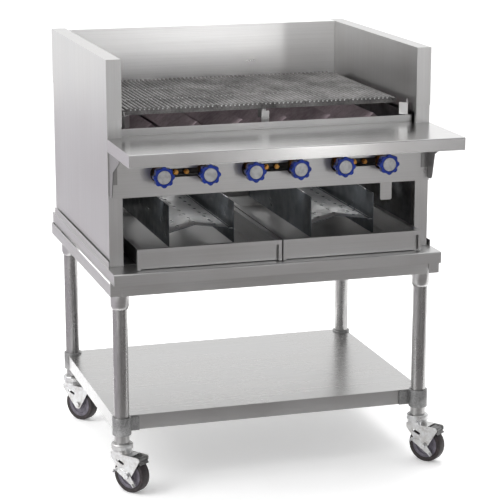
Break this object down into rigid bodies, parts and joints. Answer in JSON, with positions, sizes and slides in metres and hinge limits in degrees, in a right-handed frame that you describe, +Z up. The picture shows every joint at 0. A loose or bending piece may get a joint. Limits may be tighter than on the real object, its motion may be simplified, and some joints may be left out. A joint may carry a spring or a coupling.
{
  "type": "charbroiler grill",
  "caption": "Gas charbroiler with cooking grate, splash guards, landing shelf, knobs and drip pans, on an open stand with a lower shelf and casters.",
  "frame": {"origin": "on the floor at the middle of the whole footprint", "axes": "+X to the cook's right, +Y from the cook towards the wall, +Z up"},
  "size_m": [0.9658, 1.007, 1.182],
  "materials": {
    "stainless": "brushed, satin",
    "stainless_dull": "mill finish, heat dulled",
    "tube_steel": "polished tube",
    "cast_aluminium": "as cast",
    "cast_iron": "rough, heat browned",
    "grate_iron": "worn bare metal",
    "black_pipe": "matte black",
    "brass": "machined",
    "blue_plastic": "glossy moulded",
    "knob_cap": "spun satin",
    "zinc_plate": "bright zinc",
    "caster_tread": "moulded resin tread on a grey hub"
  },
  "bodies": {
    "stand_and_casing": {"back_panel": "stainless", "baffle_left": "stainless_dull", "baffle_right": "stainless_dull", "burners": "cast_iron", "caster_stems": "zinc_plate", "compartment_liner": "stainless_dull", "control_panel": "stainless", "corner_clamps": "cast_aluminium", "firebox_liner": "stainless_dull", "front_rail": "stainless", "gas_manifold": "black_pipe", "gas_valves": "brass", "grate_supports": "grate_iron", "landing_shelf": "stainless", "legs": "tube_steel", "manifold_strap": "stainless", "panel_screws": "stainless", "radiants": "cast_iron", "shelf_brackets": "stainless", "side_panel_left": "stainless", "side_panel_right": "stainless", "splash_left": "stainless", "splash_rear": "stainless", "splash_right": "stainless", "stand_frame": "stainless", "stand_top": "stainless", "undershelf": "stainless"},
    "knob_1": {"knob_1": "blue_plastic", "knob_cap_1": "knob_cap"},
    "knob_2": {"knob_2": "blue_plastic", "knob_cap_2": "knob_cap"},
    "knob_3": {"knob_3": "blue_plastic", "knob_cap_3": "knob_cap"},
    "knob_4": {"knob_4": "blue_plastic", "knob_cap_4": "knob_cap"},
    "knob_5": {"knob_5": "blue_plastic", "knob_cap_5": "knob_cap"},
    "knob_6": {"knob_6": "blue_plastic", "knob_cap_6": "knob_cap"},
    "caster_swivel_fl": {"caster_fork_fl": "zinc_plate"},
    "wheel_fl": {"caster_wheel_fl": "caster_tread"},
    "caster_swivel_fr": {"caster_fork_fr": "zinc_plate"},
    "wheel_fr": {"caster_wheel_fr": "caster_tread"},
    "caster_swivel_rl": {"caster_fork_rl": "zinc_plate"},
    "wheel_rl": {"caster_wheel_rl": "caster_tread"},
    "caster_swivel_rr": {"caster_fork_rr": "zinc_plate"},
    "wheel_rr": {"caster_wheel_rr": "caster_tread"},
    "brake_fl": {"brake_lever_fl": "zinc_plate"},
    "shoe_fl": {"brake_shoe_fl": "zinc_plate"},
    "brake_fr": {"brake_lever_fr": "zinc_plate"},
    "shoe_fr": {"brake_shoe_fr": "zinc_plate"},
    "pan_left": {"drip_pan_left": "stainless"},
    "pan_right": {"drip_pan_right": "stainless"},
    "grate_chassis": {"grate_chassis": "grate_iron"},
    "grate_1": {"grate_section_1": "grate_iron"},
    "grate_2": {"grate_section_2": "grate_iron"},
    "grate_3": {"grate_section_3": "grate_iron"},
    "grate_4": {"grate_section_4": "grate_iron"},
    "grate_5": {"grate_section_5": "grate_iron"},
    "grate_6": {"grate_section_6": "grate_iron"}
  },
  "joints": [
    {"name": "knob_1_turn", "type": "hinge", "parent": "stand_and_casing", "child": "knob_1", "pos_m": [-0.3315, -0.304, 0.8725], "axis": [0, 1, 0], "range_deg": [0, 90]},
    {"name": "knob_2_turn", "type": "hinge", "parent": "stand_and_casing", "child": "knob_2", "pos_m": [-0.2045, -0.304, 0.8725], "axis": [0, 1, 0], "range_deg": [0, 90]},
    {"name": "knob_3_turn", "type": "hinge", "parent": "stand_and_casing", "child": "knob_3", "pos_m": [-0.0775, -0.304, 0.8725], "axis": [0, 1, 0], "range_deg": [0, 90]},
    {"name": "knob_4_turn", "type": "hinge", "parent": "stand_and_casing", "child": "knob_4", "pos_m": [0.0495, -0.304, 0.8725], "axis": [0, 1, 0], "range_deg": [0, 90]},
    {"name": "knob_5_turn", "type": "hinge", "parent": "stand_and_casing", "child": "knob_5", "pos_m": [0.1765, -0.304, 0.8725], "axis": [0, 1, 0], "range_deg": [0, 90]},
    {"name": "knob_6_turn", "type": "hinge", "parent": "stand_and_casing", "child": "knob_6", "pos_m": [0.3035, -0.304, 0.8725], "axis": [0, 1, 0], "range_deg": [0, 90]},
    {"name": "caster_fl_swivel", "type": "hinge", "parent": "stand_and_casing", "child": "caster_swivel_fl", "pos_m": [-0.4472, -0.268, 0.115], "axis": [0, 0, 1], "continuous": true},
    {"name": "wheel_fl_roll", "type": "hinge", "parent": "caster_swivel_fl", "child": "wheel_fl", "pos_m": [-0.42688, -0.294, 0.0508], "axis": [0.788, 0.6157, 0], "continuous": true},
    {"name": "caster_fr_swivel", "type": "hinge", "parent": "stand_and_casing", "child": "caster_swivel_fr", "pos_m": [0.4192, -0.268, 0.115], "axis": [0, 0, 1], "continuous": true},
    {"name": "wheel_fr_roll", "type": "hinge", "parent": "caster_swivel_fr", "child": "wheel_fr", "pos_m": [0.43952, -0.294, 0.0508], "axis": [0.788, 0.6157, 0], "continuous": true},
    {"name": "caster_rl_swivel", "type": "hinge", "parent": "stand_and_casing", "child": "caster_swivel_rl", "pos_m": [-0.4472, 0.386, 0.115], "axis": [0, 0, 1], "continuous": true},
    {"name": "wheel_rl_roll", "type": "hinge", "parent": "caster_swivel_rl", "child": "wheel_rl", "pos_m": [-0.42688, 0.36, 0.0508], "axis": [0.788, 0.6157, 0], "continuous": true},
    {"name": "caster_rr_swivel", "type": "hinge", "parent": "stand_and_casing", "child": "caster_swivel_rr", "pos_m": [0.4192, 0.386, 0.115], "axis": [0, 0, 1], "continuous": true},
    {"name": "wheel_rr_roll", "type": "hinge", "parent": "caster_swivel_rr", "child": "wheel_rr", "pos_m": [0.43952, 0.36, 0.0508], "axis": [0.788, 0.6157, 0], "continuous": true},
    {"name": "brake_fl_press", "type": "hinge", "parent": "caster_swivel_fl", "child": "brake_fl", "pos_m": [-0.42688, -0.294, 0.0508], "axis": [-0.788, -0.6157, 0], "range_deg": [0, 20]},
    {"name": "shoe_fl_press", "type": "hinge", "parent": "caster_swivel_fl", "child": "shoe_fl", "pos_m": [-0.40584, -0.32094, 0.09962], "axis": [0.788, 0.6157, 0], "range_deg": [0, 8]},
    {"name": "brake_fr_press", "type": "hinge", "parent": "caster_swivel_fr", "child": "brake_fr", "pos_m": [0.43952, -0.294, 0.0508], "axis": [-0.788, -0.6157, 0], "range_deg": [0, 20]},
    {"name": "shoe_fr_press", "type": "hinge", "parent": "caster_swivel_fr", "child": "shoe_fr", "pos_m": [0.46056, -0.32094, 0.09962], "axis": [0.788, 0.6157, 0], "range_deg": [0, 8]},
    {"name": "pan_left_slide", "type": "slide", "parent": "stand_and_casing", "child": "pan_left", "axis": [0, -1, 0], "range_m": [0, 0.6]},
    {"name": "pan_right_slide", "type": "slide", "parent": "stand_and_casing", "child": "pan_right", "axis": [0, -1, 0], "range_m": [0, 0.6]},
    {"name": "grate_tilt", "type": "hinge", "parent": "stand_and_casing", "child": "grate_chassis", "pos_m": [-0.014, 0.369, 1.021], "axis": [-1, 0, 0], "range_deg": [0, 8]},
    {"name": "grate_1_lift", "type": "slide", "parent": "grate_chassis", "child": "grate_1", "axis": [0, 0, 1], "range_m": [0, 0.15]},
    {"name": "grate_2_lift", "type": "slide", "parent": "grate_chassis", "child": "grate_2", "axis": [0, 0, 1], "range_m": [0, 0.15]},
    {"name": "grate_3_lift", "type": "slide", "parent": "grate_chassis", "child": "grate_3", "axis": [0, 0, 1], "range_m": [0, 0.15]},
    {"name": "grate_4_lift", "type": "slide", "parent": "grate_chassis", "child": "grate_4", "axis": [0, 0, 1], "range_m": [0, 0.15]},
    {"name": "grate_5_lift", "type": "slide", "parent": "grate_chassis", "child": "grate_5", "axis": [0, 0, 1], "range_m": [0, 0.15]},
    {"name": "grate_6_lift", "type": "slide", "parent": "grate_chassis", "child": "grate_6", "axis": [0, 0, 1], "range_m": [0, 0.15]}
  ],
  "couplings": [
    {"joint": "shoe_fl_press", "follows": "brake_fl_press", "ratio": 0.4},
    {"joint": "shoe_fr_press", "follows": "brake_fr_press", "ratio": 0.4}
  ]
}
